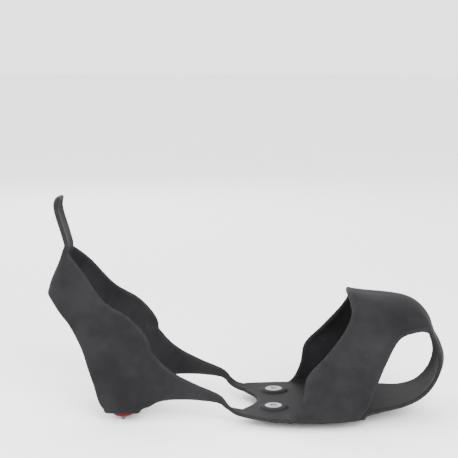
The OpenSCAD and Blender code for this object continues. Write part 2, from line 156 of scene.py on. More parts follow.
# Rows from the top of the toe down the right side and in under the foot, each from the rear
# edge forward.
CAP_ROWS = (
    ((75.2, 0, 93.8), (91, 0, 91.2), (106, 0, 90.2), (119.5, 0, 88.6), (129.5, 0, 84),
     (137, 0, 75), (140.6, 0, 65)),
    ((75.5, -11, 93.2), (91, -11, 90.9), (106, -11, 89.8), (119.5, -11, 87.8), (128.7, -11, 83.1),
     (136, -11, 74.5), (139.6, -11, 65)),
    ((77, -22, 89.6), (91, -22, 88.6), (105, -22, 87.4), (118, -22, 84.9), (127, -22, 80.2),
     (133.5, -22, 74), (137.6, -22, 66.8)),
    ((78, -33, 82), (87.5, -33, 82), (98, -33, 81.5), (108, -33, 80), (117, -33, 77.5),
     (124, -32.5, 74.5), (129.5, -31.5, 70.4)),
    ((72, -42, 70), (79, -43, 71), (87, -43.5, 71.5), (94, -43.5, 71), (101, -43.5, 70.5),
     (107.5, -43, 69.6), (114, -41.5, 67.4)),
    ((59, -48.5, 54), (66, -50, 55), (73, -51, 55.5), (81, -51, 55), (88, -50.5, 54),
     (95.5, -49.5, 52.5), (103.6, -47.5, 50)),
    ((46, -51, 40), (54, -52, 40), (62, -52.6, 40), (71, -52.6, 39), (80, -52, 38), (89, -51, 36.5),
     (97, -49, 34.5)),
    ((43, -52, 25), (51, -52.6, 25), (59, -52.6, 25), (68, -52.6, 24.5), (77, -52, 24),
     (86, -51, 23.5), (93, -48.5, 23)),
    ((38, -52.2, 13), (46.5, -52.8, 13), (54.5, -53, 13), (62.5, -52.8, 13),
     (71, -52, 13), (79, -50.4, 13), (87.5, -48, 13)),
    ((33, -51.6, 7.7), (42, -52.2, 7.7), (50, -52.4, 7.7), (58, -52.2, 7.7), (66, -51.4, 7.8),
     (74.5, -50, 8.2), (83, -47.2, 8.9)),
    ((31, -44, 7.9), (40, -45, 7.9), (48, -45, 7.9), (56, -45, 7.9), (64, -44, 7.9), (72, -43, 7.9),
     (80, -41, 7.9)),
)
# Rows from the middle of the plate to its right edge, each from the rear edge forward.
PLATE_ROWS = (
    ((9, 0, 8), (20, 0, 8), (32, 0, 8), (44, 0, 8), (56, 0, 8), (70, 0, 8), (82, 0, 8), (93, 0, 8.3)),
    ((5.8, -13.5, 8), (18, -14, 8), (31, -14.5, 8), (44, -15, 8), (56, -15, 8), (70, -15, 8),
     (82, -15, 8), (93, -14.5, 8.3)),
    ((-2, -27, 8), (14, -29, 8), (29, -30, 8), (43, -31, 8), (56, -31, 8), (69, -30.5, 8),
     (81, -29.5, 8), (92, -28.5, 8.3)),
    ((-2, -41, 9), (10, -46.4, 8.1), (22, -50, 7.5), (33, -51.4, 7.4), (52, -51.6, 7.6), (68, -50, 8),
     (80, -47, 8), (89, -43, 8.2)),
)
# Rows climb from under the plate's front edge round the toe into the cap: middle to right edge.
STRAP_ROWS = (
    ((80, 0, 8.2), (80, -22, 8.3), (80, -44, 8.8)),
    ((88, 0, 8.6), (88, -22, 8.9), (88, -43, 9.9)),
    ((103, 0, 10), (103, -19, 10.5), (102, -36.5, 11.7)),
    ((118, 0, 12.6), (118, -15.5, 12.8), (116.5, -30, 13.2)),
    ((131, 0, 17.4), (130.5, -13, 17.4), (129, -25.5, 17.6)),
    ((140.2, 0, 25), (139.7, -12, 25), (137.4, -23.5, 25)),
    ((146, 0, 35), (145.5, -11, 35), (142.9, -22, 35)),
    ((148.1, 0, 45.5), (147.5, -11, 45.5), (144.5, -22, 45.5)),
    ((145.5, 0, 55.5), (144.8, -11, 55.5), (142, -22, 55.5)),
    ((141, 0, 64), (140, -11, 64), (138, -22, 65.5)),
    ((137, 0, 75), (136, -11, 74.5), (133.5, -22, 74)),
)
# Rows run back from inside the plate's rear corner, through the arch, to the heel: from the
# upper or outer edge to the lower or inner one.
ARCH_ROWS = (
    ((6, -45, 8), (6, -36, 8), (6, -27, 8)),
    ((-2, -42, 8.7), (-2, -34.5, 8.5), (-2, -27, 8.3)),
    ((-7, -41, 10.8), (-7, -34.5, 9.9), (-7, -28.5, 9.7)),
    ((-12, -39, 15.7), (-12, -35, 13), (-12, -32, 11.7)),
    ((-18.5, -36.4, 23.5), (-18.5, -36.1, 19.4), (-18.5, -35.6, 16)),
    ((-36, -36.1, 31), (-36, -36.1, 24.6), (-36, -36.1, 18)),
    ((-51, -36.1, 38.8), (-51.5, -36.1, 28.5), (-52, -36.1, 18)),
    ((-61, -36.1, 46.6), (-62, -36.1, 31.5), (-63, -36.1, 16.2)),
    ((-69.5, -36.1, 56), (-70, -36.1, 34), (-71, -36.1, 12)),
    ((-78, -36.1, 60), (-78, -36.1, 34), (-78, -36.1, 11)),
)
# Rows climb from the bottom of the heel bar's end to the middle of the back: from the rear or
# lower edge to the front or upper one.
HEEL_ROWS = (
    ((-101.4, -36.1, 8.6), (-96, -36.1, 8.2), (-90, -36.1, 8), (-84, -36.1, 8.2), (-78, -36.1, 8.8)),
    ((-107.1, -36.1, 16), (-98, -36.1, 16), (-90, -36.1, 16), (-81, -36.1, 15), (-72.5, -36.1, 14)),
    ((-110.6, -36.1, 28), (-101, -36.1, 31), (-91, -36.1, 32), (-80, -36.1, 31), (-71, -36.1, 28)),
    ((-114.5, -36.1, 40), (-104, -36.3, 47), (-93, -36.3, 50), (-81, -36.3, 49.5), (-70, -36.1, 46)),
    ((-119, -35, 55), (-109, -36.3, 61), (-96.5, -37, 65), (-82.5, -37, 64.8), (-68.8, -36.5, 61)),
    ((-128, -28, 70), (-118, -33, 76), (-107, -35.5, 79.5), (-94, -36, 80.8), (-82, -36, 77.5)),
    ((-138, -18, 79.5), (-130, -25, 87), (-121, -30, 92), (-111, -33, 94), (-102, -34, 90)),
    ((-144.5, -9, 86), (-139, -16, 95), (-133, -21, 103), (-126, -24, 109), (-119.5, -25, 112)),
    ((-147, -4.5, 88.5), (-144, -8.5, 98), (-139.5, -11.5, 107.5), (-135.5, -13.5, 117),
     (-132.5, -14, 125)),
    ((-148, 0, 90), (-145.5, 0, 98.5), (-141.5, 0, 108), (-137, 0, 117), (-134, 0, 125.4)),
)
# The pull tab from its root in the back strap to its top: place along, height, half width, and
# how far its edges stand forward of its middle.
TAB_ROWS = (
    (-137.2, 116.5, 15, 2.6),
    (-134.9, 122.5, 15.2, 2.2),
    (-133.8, 127.6, 14.2, 1.6),
    (-134.4, 133, 14, 0.9),
    (-136.1, 140, 14, 0.6),
    (-138.7, 147.5, 14, 0.9),
    (-141, 154, 14, 1.6),
    (-141.7, 158, 13.6, 2.2),
    (-141.2, 160.6, 12.6, 2.3),
    (-140.2, 162.3, 10.6, 1.9),
    (-139.3, 163, 7.6, 1.2),
)


def curve_point(points, t):
    """A point on the smooth curve through points, t from 0 at the first to 1 at the last."""
    last = len(points) - 1
    along = min(max(t, 0), 1) * last
    i = min(int(along), last - 1)
    u = along - i
    b, c = points[i], points[i + 1]
    a = points[i - 1] if i else 2 * b - c
    d = points[i + 2] if i + 2 <= last else 2 * c - b
    return (b + u * (c - a) / 2 + u * u * (a - 2.5 * b + 2 * c - d / 2)
            + u ** 3 * (1.5 * (b - c) + (d - a) / 2))


def mirrored(row):
    """A row of the right side as a row of the left."""
    return [(x, -y, z) for x, y, z in row]


def both_sides(rows):
    """Rows of the right side, the first being the middle one, as rows of both sides."""
    return [mirrored(row) for row in reversed(rows[1:])] + list(rows)


def placed(rows):
    """Drawn rows as places in the frame."""
    return [[place(point) for point in row] for row in rows]


def edge_of(rows, column):
    """One edge of a net as a list of points."""
    return [row[column] for row in rows]


def trimmed(net, start, end):
    """The net with its rows shortened at either end, to leave room for a bead there."""
    result = []
    for row in net:
        length = sum((a - b).length for a, b in zip(row, row[1:]))
        first, last = start / length, 1 - end / length
        count = len(row) - 1
        result.append([curve_point(row, first + (last - first) * k / count) for k in range(count + 1)])
    return result


def add_sheet(bm, net, thickness):
    """A curved wall through the net's points, its two faces half a thickness either side."""
    across = sum((a - b).length for a, b in zip(net[len(net) // 2], net[len(net) // 2][1:]))
    down = sum((a[0] - b[0]).length for a, b in zip(net, net[1:]))
    made = bmesh.ops.create_grid(
        bm, x_segments=max(4, round(across / SHEET_STEP)), y_segments=max(4, round(down / SHEET_STEP)),
        size=0.5)
    columns = {}
    for vert in made["verts"]:
        u = round(vert.co.x + 0.5, 5)
        if u not in columns:
            columns[u] = [curve_point(row, u) for row in net]
        vert.co = curve_point(columns[u], vert.co.y + 0.5)
    bm.normal_update()
    for vert in made["verts"]:
        vert.co = vert.co + vert.normal * thickness / 2
    faces = list({face for vert in made["verts"] for face in vert.link_faces})
    bmesh.ops.solidify(bm, geom=faces, thickness=thickness)


def add_bead(bm, points, radius):
    """A round bead along an edge, which makes the edge's rolled lip."""
    curve = bpy.data.curves.new("bead", "CURVE")
    curve.dimensions = "3D"
    curve.bevel_depth = radius
    curve.bevel_resolution = 3
    curve.use_fill_caps = True
    spline = curve.splines.new("POLY")
    steps = BEAD_STEPS * (len(points) - 1)
    spline.points.add(steps)
    for k, node in enumerate(spline.points):
        node.co = (*curve_point(points, k / steps), 1)
    holder = bpy.data.objects.new("bead", curve)
    bm.from_mesh(holder.to_mesh())
    holder.to_mesh_clear()
    bpy.data.objects.remove(holder)
    bpy.data.curves.remove(curve)


def add_boss(bm, centre, radius, low, high, draft):
    """A round raised seat for a stud, wider at its foot."""
    made = bmesh.ops.create_cone(
        bm, cap_ends=True, segments=64, radius1=radius + draft, radius2=radius, depth=high - low)
    bmesh.ops.translate(bm, verts=made["verts"], vec=centre + Vector((0, 0, (low + high) / 2)))


def stud_bores(sizes):
    """A mesh that fills the stepped holes which the inserts sit in."""
    bm = bmesh.new()
    for stud in STUDS:
        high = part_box(stud + "_insert")[1]
        centre = stud_centre(stud)
        sleeve = SLEEVE_RADIUS + sizes.insert_gap
        flange = half_width(stud + "_insert") + sizes.insert_gap
        shelf = high.z - FLANGE_THICKNESS - sizes.insert_gap
        foot = SOLE_LOW - BORE_OVERRUN
        top = high.z + BORE_OVERRUN
        profile = ((0, foot), (sleeve, foot), (sleeve, shelf), (flange, shelf), (flange, top), (0, top))
        corners = [bm.verts.new(centre + Vector((r, 0, z))) for r, z in profile]
        edges = [bm.edges.new(pair) for pair in zip(corners, corners[1:])]
        bmesh.ops.spin(bm, geom=corners + edges, cent=centre, axis=(0, 0, 1), dvec=(0, 0, 0),
                       angle=2 * math.pi, steps=BORE_SIDES, use_merge=True, use_duplicate=False)
    bmesh.ops.remove_doubles(bm, verts=bm.verts, dist=WELD)
    bmesh.ops.recalc_face_normals(bm, faces=bm.faces)
    mesh = bpy.data.meshes.new("stud_bores")
    bm.to_mesh(mesh)
    bm.free()
    return mesh


def build_harness(sizes):
    """The whole rubber harness as one closed mesh, all its walls and lips run together."""
    bm = bmesh.new()
    wall = sizes.wall
    lip = sizes.lip_radius
    edge = sizes.edge_radius
    cap = trimmed(placed(both_sides(CAP_ROWS)), lip, lip)
    plate = trimmed(placed(both_sides(PLATE_ROWS)), edge, 0)
    strap = trimmed(placed([mirrored(row[:0:-1]) + list(row) for row in STRAP_ROWS]), edge, edge)
    heel = trimmed(placed(both_sides(tuple(reversed(HEEL_ROWS)))), edge, edge)
    add_sheet(bm, cap, wall)
    add_sheet(bm, plate, PLATE_TOP - SOLE_LOW)
    add_sheet(bm, strap, wall)
    add_sheet(bm, heel, wall)
    tab = []
    for x, z, half, forward in TAB_ROWS:
        reach = half * MM - sizes.tab_thickness / 2
        tab.append([place((x + forward * s * s, 0, z)) + Vector((0, s * reach, 0))
                    for s in (-1, -0.5, 0, 0.5, 1)])
    add_sheet(bm, tab, sizes.tab_thickness)
    left_arch = [mirrored(row) for row in ARCH_ROWS]
    sides = [trimmed(placed(rows), edge, edge) for rows in (ARCH_ROWS, left_arch)]
    for side in sides:
        add_sheet(bm, side, wall)

    add_bead(bm, edge_of(cap, 0), lip)
    front = edge_of(cap, -1)
    middle = len(front) // 2
    add_bead(bm, front[:middle - 1], lip)
    add_bead(bm, front[middle + 2:], lip)
    for column in (0, -1):
        add_bead(bm, edge_of(strap, column), edge)
        add_bead(bm, edge_of(heel, column), edge)
    for side in sides:
        add_bead(bm, edge_of(side, 0)[1:], edge)
        add_bead(bm, edge_of(side, -1)[1:], edge)
    for rows in (plate[0], plate[-1]):
        add_bead(bm, rows, edge)
    add_bead(bm, edge_of(plate, 0), edge)
    add_bead(bm, [row[0] for row in tab] + [row[-1] for row in reversed(tab)], sizes.tab_thickness / 2)

    low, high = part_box("heel_bar")
    bar = bmesh.ops.create_cube(bm, size=1)
    centre = (low + high) / 2
    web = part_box("heel_web_right")[0].y
    bar_top = PLATE_TOP + BAR_OVERLAP
    bmesh.ops.scale(bm, verts=bar["verts"],
                    vec=(high.x - low.x - 2 * sizes.bar_inset, -2 * (web + sizes.bar_inset),
                         bar_top - low.z))
    bmesh.ops.translate(bm, verts=bar["verts"], vec=(centre.x, 0, (low.z + bar_top) / 2))
    edges = list({e for v in bar["verts"] for e in v.link_edges})
    bmesh.ops.bevel(bm, geom=edges, offset=sizes.bar_round, offset_type="OFFSET", segments=5,
                    profile=0.5, affect="EDGES", material=-1)
    for stud in STUDS:
        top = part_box(stud + "_insert")[1].z - sizes.flange_proud
        radius = half_width(stud + "_insert") + sizes.boss_rim
        add_boss(bm, stud_centre(stud), radius, SOLE_LOW + BOSS_SINK, top, sizes.boss_draft)

    raw = bpy.data.meshes.new("harness_raw")
    bm.to_mesh(raw)
    bm.free()
    holder = bpy.data.objects.new("harness_raw", raw)
    bpy.context.scene.collection.objects.link(holder)
    fuse = holder.modifiers.new("Fuse", "REMESH")
    fuse.mode = "VOXEL"
    fuse.voxel_size = sizes.mesh_size
    soften = holder.modifiers.new("Soften", "SMOOTH")
    soften.factor = 0.5
    soften.iterations = sizes.softening
    bores = stud_bores(sizes)
    drill = bpy.data.objects.new("stud_bores", bores)
    bpy.context.scene.collection.objects.link(drill)
    bore = holder.modifiers.new("Bore", "BOOLEAN")
    bore.operation = "DIFFERENCE"
    bore.solver = "EXACT"
    bore.object = drill
    graph = bpy.context.evaluated_depsgraph_get()
    mesh = bpy.data.meshes.new_from_object(holder.evaluated_get(graph))
    for thing in (holder, drill):
        bpy.data.objects.remove(thing)
    for used in (raw, bores):
        bpy.data.meshes.remove(used)
    return mesh


def mark_edges(bm):
    """Stores on each vertex how strongly the rubber turns outward there, for its edge wear and its painted
    edge highlight.
    """
    layer = bm.verts.layers.float.new("rim")
    bm.normal_update()
    turn = {}
    for vert in bm.verts:
        around = [edge.other_vert(vert).co for edge in vert.link_edges]
        middle = sum(around, Vector()) / len(around)
        turn[vert] = (vert.co - middle).dot(vert.normal)
    for _ in range(RIM_SPREADS):
        near = {vert: sum(turn[edge.other_vert(vert)] for edge in vert.link_edges) / len(vert.link_edges)
                for vert in bm.verts}
        turn = {vert: (turn[vert] + near[vert]) / 2 for vert in bm.verts}
    for vert in bm.verts:
        vert[layer] = min(1, max(0, turn[vert] / RIM_FULL_TURN))


def cut(mesh, planes, name):
    """The part of a closed mesh between planes, as a new closed object."""
    bm = bmesh.new()
    bm.from_mesh(mesh)
    for point, away in planes:
        geometry = bm.verts[:] + bm.edges[:] + bm.faces[:]
        made = bmesh.ops.bisect_plane(bm, geom=geometry, dist=1e-7, plane_co=point, plane_no=away,
                                      clear_outer=True)
        rim = [item for item in made["geom_cut"] if isinstance(item, bmesh.types.BMEdge)]
        filled = bmesh.ops.holes_fill(bm, edges=rim, sides=0)
        for item in rim:
            if item.is_valid:
                item.smooth = False
        for face in filled["faces"]:
            face.smooth = False
    piece = bpy.data.meshes.new(name)
    bm.to_mesh(piece)
    bm.free()
    thing = bpy.data.objects.new(name, piece)
    bpy.context.scene.collection.objects.link(thing)
    return thing


# ------------------------------------------------------------------ materials

# Scales of the patterns, in features per metre.
FINE_GRAIN = 2600
COARSE_GRAIN = 420
SLOW_CLOUD = 38
PIT_CELLS = 230.0
DUSTY_PATCHES = 60
WEAR_BREAKS = 180
FLOOR_CLOUD = 3
# How close the turning marks lie, in radians of their wave per metre of radius and height.
STEEL_RINGS = 26000
TIP_RINGS = 40000
# Roughness of each finish where its clouds are at their lowest, and how much they add.
RUBBER_ROUGHNESS = (0.52, 0.16)
DISC_ROUGHNESS = (0.33, 0.18)
STEEL_ROUGHNESS = (0.26, 0.2)
TIP_ROUGHNESS = (0.4, 0.2)
FLOOR_ROUGHNESS = 0.9
# How much smoother the rubber is on its worn, highlit edges, and how much rougher its dust.
RUBBED_SMOOTHING = 0.1
DUST_ROUGHENING = 0.3
# How strongly each finish mirrors light that meets it head on.
RUBBER_SPECULAR = 0.025
DISC_SPECULAR = 0.12
# Strength and depth in metres of each finish's relief.
RUBBER_RELIEF = (0.5, 0.00016)
DISC_RELIEF = (0.2, 0.00008)
METAL_RELIEF = (0.35, 0.00005)

class Nodes:
    """Short ways to add and join shader nodes in one tree."""

    def __init__(self, tree):
        self.tree = tree

    def add(self, kind, values=None, **settings):
        node = self.tree.nodes.new(kind)
        for key, value in settings.items():
            setattr(node, key, value)
        for key, value in (values or {}).items():
            self.feed(node.inputs[key], value)
        return node

    def feed(self, socket, value):
        if isinstance(value, bpy.types.NodeSocket):
            self.tree.links.new(value, socket)
        else:
            socket.default_value = value

    def math(self, operation, a, b=0.0, clamp=False):
        node = self.add("ShaderNodeMath", operation=operation, use_clamp=clamp)
        self.feed(node.inputs[0], a)
        self.feed(node.inputs[1], b)
        return node.outputs[0]

    def ramp(self, value, low, high):
        """0 at low, 1 at high and a smooth change between, whichever of the two is larger."""
        node = self.add("ShaderNodeMapRange", interpolation_type="SMOOTHSTEP")
        for key, number in (("Value", value), ("From Min", low), ("From Max", high)):
            self.feed(node.inputs[key], number)
        return node.outputs["Result"]

    def mix(self, share, a, b):
        node = self.add("ShaderNodeMix", data_type="RGBA")
        self.feed(node.inputs[0], share)
        self.feed(node.inputs[6], a)
        self.feed(node.inputs[7], b)
        return node.outputs[2]

    def noise(self, where, scale, detail=3.0, roughness=0.5):
        node = self.add("ShaderNodeTexNoise", {"Vector": where, "Scale": scale, "Detail": detail,
                                               "Roughness": roughness})
        return node.outputs["Fac"]


def group(name, inputs, outputs):
    """A new node group with its sockets, and the sockets that its nodes read and fill."""
    tree = bpy.data.node_groups.new(name, "ShaderNodeTree")
    for label, kind, default in inputs:
        socket = tree.interface.new_socket(name=label, in_out="INPUT", socket_type=kind)
        if default is not None:
            socket.default_value = default
    for label, kind in outputs:
        tree.interface.new_socket(name=label, in_out="OUTPUT", socket_type=kind)
    return tree, tree.nodes.new("NodeGroupInput").outputs, tree.nodes.new("NodeGroupOutput").inputs


def rubber_grain_group():
    """Moulded rubber: its fine grain, its slow unevenness and its bloom of dust."""
    tree, given, result = group(
        "Moulded Grain",
        [("Position", "NodeSocketVector", None), ("Grain", "NodeSocketFloat", 1.0),
         ("Dust", "NodeSocketFloat", 0.3)],
        [("Height", "NodeSocketFloat"), ("Cloud", "NodeSocketFloat"), ("Speck", "NodeSocketFloat")])
    n = Nodes(tree)
    fine = n.noise(given["Position"], FINE_GRAIN, 2)
    coarse = n.noise(given["Position"], COARSE_GRAIN, 3)
    slow = n.noise(given["Position"], SLOW_CLOUD, 4, 0.6)
    height = n.math("ADD", n.math("MULTIPLY", fine, 0.5), n.math("MULTIPLY", coarse, 0.5))
    n.feed(result["Height"], n.math("MULTIPLY", height, given["Grain"]))
    n.feed(result["Cloud"], slow)
    pits = n.add("ShaderNodeTexVoronoi", {"Vector": given["Position"], "Scale": PIT_CELLS})
    near = n.ramp(pits.outputs["Distance"], 0.13, 0.04)
    patch = n.ramp(n.noise(given["Position"], DUSTY_PATCHES, 3), 0.52, 0.66)
    n.feed(result["Speck"], n.math("MULTIPLY", n.math("MULTIPLY", near, patch), given["Dust"]))
    return tree


def edge_wear_and_highlight_group():
    """Where an edge is lightened, partly as rubbed wear and partly as a painted highlight: the stored edge
    mask broken up by noise.
    """
    tree, given, result = group(
        "Worn and Highlit Edge",
        [("Position", "NodeSocketVector", None), ("Mask", "NodeSocketFloat", 0.0),
         ("Amount", "NodeSocketFloat", 0.5)],
        [("Wear and Highlight", "NodeSocketFloat")])
    n = Nodes(tree)
    broken = n.ramp(n.noise(given["Position"], WEAR_BREAKS, 4, 0.6), 0.35, 0.7)
    share = n.math("MULTIPLY", given["Mask"], n.math("ADD", 0.35, n.math("MULTIPLY", broken, 0.65)))
    n.feed(result["Wear and Highlight"], n.math("MULTIPLY", share, given["Amount"], clamp=True))
    return tree


def material(name, metallic=0.0):
    """A new material, its tree helper, its Principled shader and its Object coordinates."""
    made = bpy.data.materials.new(name)
    made.use_nodes = True
    n = Nodes(made.node_tree)
    shader = next(node for node in made.node_tree.nodes if node.type == "BSDF_PRINCIPLED")
    shader.inputs["Metallic"].default_value = metallic
    where = n.add("ShaderNodeTexCoord").outputs["Object"]
    return made, n, shader, where


def place_group(n, tree, **values):
    """Places a node group in a material with that material's own values."""
    node = n.add("ShaderNodeGroup", node_tree=tree)
    for key, value in values.items():
        n.feed(node.inputs[key], value)
    return node.outputs


def bump(n, shader, height, relief):
    """Lets a height shape the shader's normal."""
    strength, depth = relief
    node = n.add("ShaderNodeBump", {"Height": height, "Strength": strength, "Distance": depth})
    n.feed(shader.inputs["Normal"], node.outputs["Normal"])


def clouded(n, cloud, roughness):
    """A roughness that rises with the slow clouds in a finish."""
    least, added = roughness
    return n.math("ADD", least, n.math("MULTIPLY", cloud, added))


def shade(colour, factor):
    """A colour made lighter or darker, with its alpha."""
    return (*(min(1, c * factor) for c in colour), 1)


def rubber_material(colours, grain, wear_highlight_tree):
    made, n, shader, where = material("moulded_rubber")
    skin = place_group(n, grain, Position=where, Grain=1.0, Dust=colours.dust)
    rim = n.add("ShaderNodeAttribute", attribute_name="rim").outputs["Fac"]
    wear_and_highlight = place_group(n, wear_highlight_tree, Position=where, Mask=rim, Amount=colours.edge_wear_and_highlight)["Wear and Highlight"]
    base = n.mix(n.ramp(skin["Cloud"], 0.3, 0.7), shade(colours.rubber, 0.8), shade(colours.rubber, 1.24))
    # Painted highlight: the outward-turned edges and lips are made lighter, partly standing for rubbed wear.
    base = n.mix(wear_and_highlight, base, shade(colours.worn_and_highlit_rubber, 1))
    base = n.mix(skin["Speck"], base, shade(colours.dust_tint, 1))
    n.feed(shader.inputs["Base Color"], base)
    rough = clouded(n, skin["Cloud"], RUBBER_ROUGHNESS)
    rough = n.math("SUBTRACT", rough, n.math("MULTIPLY", wear_and_highlight, RUBBED_SMOOTHING))
    dusty = n.math("MULTIPLY", skin["Speck"], DUST_ROUGHENING)
    n.feed(shader.inputs["Roughness"], n.math("ADD", rough, dusty, clamp=True))
    shader.inputs["Specular IOR Level"].default_value = RUBBER_SPECULAR
    bump(n, shader, skin["Height"], RUBBER_RELIEF)
    return made


def disc_material(colours, grain, wear_highlight_tree):
    made, n, shader, where = material("red_moulding")
    skin = place_group(n, grain, Position=where, Grain=0.4, Dust=colours.dust)
    rim = n.add("ShaderNodeAttribute", attribute_name="rim").outputs["Fac"]
    wear_and_highlight = place_group(n, wear_highlight_tree, Position=where, Mask=rim, Amount=0.5)["Wear and Highlight"]
    base = n.mix(skin["Cloud"], shade(colours.disc, 0.8), shade(colours.disc, 1.2))
    # The disc's sharp edges are made lighter, from the shared edge wear and highlight mask.
    base = n.mix(wear_and_highlight, base, shade(colours.disc, 1.9))
    base = n.mix(skin["Speck"], base, shade(colours.dust_tint, 1))
    n.feed(shader.inputs["Base Color"], base)
    n.feed(shader.inputs["Roughness"], clouded(n, skin["Cloud"], DISC_ROUGHNESS))
    shader.inputs["Specular IOR Level"].default_value = DISC_SPECULAR
    bump(n, shader, skin["Height"], DISC_RELIEF)
    return made


def metal_material(name, colour, roughness, rings, grain, wear_highlight_tree):
    """Turned metal: fine rings about the stud's axis, stored on the mesh as a distance from it."""
    made, n, shader, where = material(name, metallic=1.0)
    skin = place_group(n, grain, Position=where, Grain=0.6)
    rim = n.add("ShaderNodeAttribute", attribute_name="rim").outputs["Fac"]
    turned = n.add("ShaderNodeAttribute", attribute_name="turned").outputs["Fac"]
    wear_and_highlight = place_group(n, wear_highlight_tree, Position=where, Mask=rim, Amount=0.8)["Wear and Highlight"]
    ring = n.math("SINE", n.math("MULTIPLY", turned, rings))
    wobble = n.math("ADD", n.math("MULTIPLY", ring, 0.25), skin["Height"])
    base = n.mix(skin["Cloud"], shade(colour, 0.78), shade(colour, 1.12))
    # Sharp edges are made lighter, from the shared edge wear and highlight mask.
    base = n.mix(wear_and_highlight, base, shade(colour, 1.45))
    n.feed(shader.inputs["Base Color"], base)
    n.feed(shader.inputs["Roughness"], clouded(n, skin["Cloud"], roughness))
    bump(n, shader, wobble, METAL_RELIEF)
    return made


# ------------------------------------------------------------------ turned pieces


def lathe(name, profile, centre, bevel, segments=48):
    """A closed ring or knob turned from a profile of (radius, height) points about a stud's axis."""
    bm = bmesh.new()
    corners = [bm.verts.new(centre + Vector((r, 0, z))) for r, z in profile]
    edges = [bm.edges.new(pair) for pair in zip(corners, corners[1:])]
    if profile[0][0] and profile[-1][0]:
        edges.append(bm.edges.new((corners[-1], corners[0])))
    bmesh.ops.spin(bm, geom=corners + edges, cent=centre, axis=(0, 0, 1), dvec=(0, 0, 0),
                   angle=2 * math.pi, steps=segments, use_merge=True, use_duplicate=False)
    bmesh.ops.remove_doubles(bm, verts=bm.verts, dist=WELD)
    bmesh.ops.recalc_face_normals(bm, faces=bm.faces)
    sharp = [e for e in bm.edges if e.is_manifold and e.calc_face_angle() > SHARP_ANGLE]
    bmesh.ops.bevel(bm, geom=sharp, offset=bevel, offset_type="OFFSET", segments=3, profile=0.5,
                    affect="EDGES", material=-1)
    bm.normal_update()
    turned = bm.verts.layers.float.new("turned")
    rim = bm.verts.layers.float.new("rim")
    for vert in bm.verts:
        vert[turned] = math.hypot(vert.co.x - centre.x, vert.co.y - centre.y) + vert.co.z
        bend = max((e.calc_face_angle(0) for e in vert.link_edges), default=0)
        vert[rim] = min(1, bend / FULL_EDGE_ANGLE)
    for face in bm.faces:
        face.smooth = True
    mesh = bpy.data.meshes.new(name)
    bm.to_mesh(mesh)
    bm.free()
    thing = bpy.data.objects.new(name, mesh)
    bpy.context.scene.collection.objects.link(thing)
    return thing


def finish_piece(thing, skin, body, slot, *nodes):
    """Gives a new piece its material and its body, and hides the CAD nodes that it stands for. Its slot is
    not used.
    """
    thing.data.materials.clear()
    thing.data.materials.append(skin)
    if body:
        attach(thing, body)
    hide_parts(*nodes)


def body_of_stud(stud):
    """The body that a stud rides on."""
    return "heel" if stud in HEEL_STUDS else "forefoot"


# ------------------------------------------------------------------ settings


class CleatSizes(bpy.types.PropertyGroup):
    """Sizes of the rubber harness that a user may change."""

    wall: FloatProperty(name="Wall", description="Thickness of the bands and straps",
                        default=2.8 * MM, min=0.002, max=0.004, subtype="DISTANCE", unit="LENGTH")
    tab_thickness: FloatProperty(name="Tab Thickness", description="Thickness of the pull tab",
                                 default=3.2 * MM, min=0.002, max=0.005, subtype="DISTANCE", unit="LENGTH")
    lip_radius: FloatProperty(name="Lip",
                              description="Radius of the rolled lip round the toe cap and windows",
                              default=1.9 * MM, min=0.0014, max=0.003, subtype="DISTANCE", unit="LENGTH")
    edge_radius: FloatProperty(name="Edge", description="Radius of the rounded edges elsewhere",
                               default=1.55 * MM, min=0.0014, max=0.0025, subtype="DISTANCE", unit="LENGTH")
    bar_round: FloatProperty(name="Bar Rounding", description="Rounding of the heel bar's edges",
                             default=3.2 * MM, min=0.0005, max=0.004, subtype="DISTANCE", unit="LENGTH")
    bar_inset: FloatProperty(name="Bar Inset",
                             description="How far the heel bar stands inside the webs and the straps' feet",
                             default=1.1 * MM, min=0, max=0.003, subtype="DISTANCE", unit="LENGTH")
    boss_rim: FloatProperty(name="Boss Rim", description="Rubber outside each insert's flange",
                            default=3.2 * MM, min=0.001, max=0.005, subtype="DISTANCE", unit="LENGTH")
    boss_draft: FloatProperty(name="Boss Draft", description="How much wider a boss is at its foot",
                              default=1.2 * MM, min=0, max=0.003, subtype="DISTANCE", unit="LENGTH")
    flange_proud: FloatProperty(name="Flange Proud", description="How far an insert stands above its boss",
                                default=0.35 * MM, min=0.0001, max=0.001, subtype="DISTANCE", unit="LENGTH")
    insert_gap: FloatProperty(name="Insert Gap",
                              description="Gap between an insert and its hole in the rubber",
                              default=0.03 * MM, min=0.00001, max=0.0002, subtype="DISTANCE", unit="LENGTH")
    mesh_size: FloatProperty(name="Mesh Size", description="Length of a side of the harness's small faces",
                             default=0.89 * MM, min=0.0006, max=0.003, subtype="DISTANCE", unit="LENGTH")
    softening: IntProperty(name="Softening", description="How many times the harness's mesh is smoothed",
                           default=8, min=1, max=20)


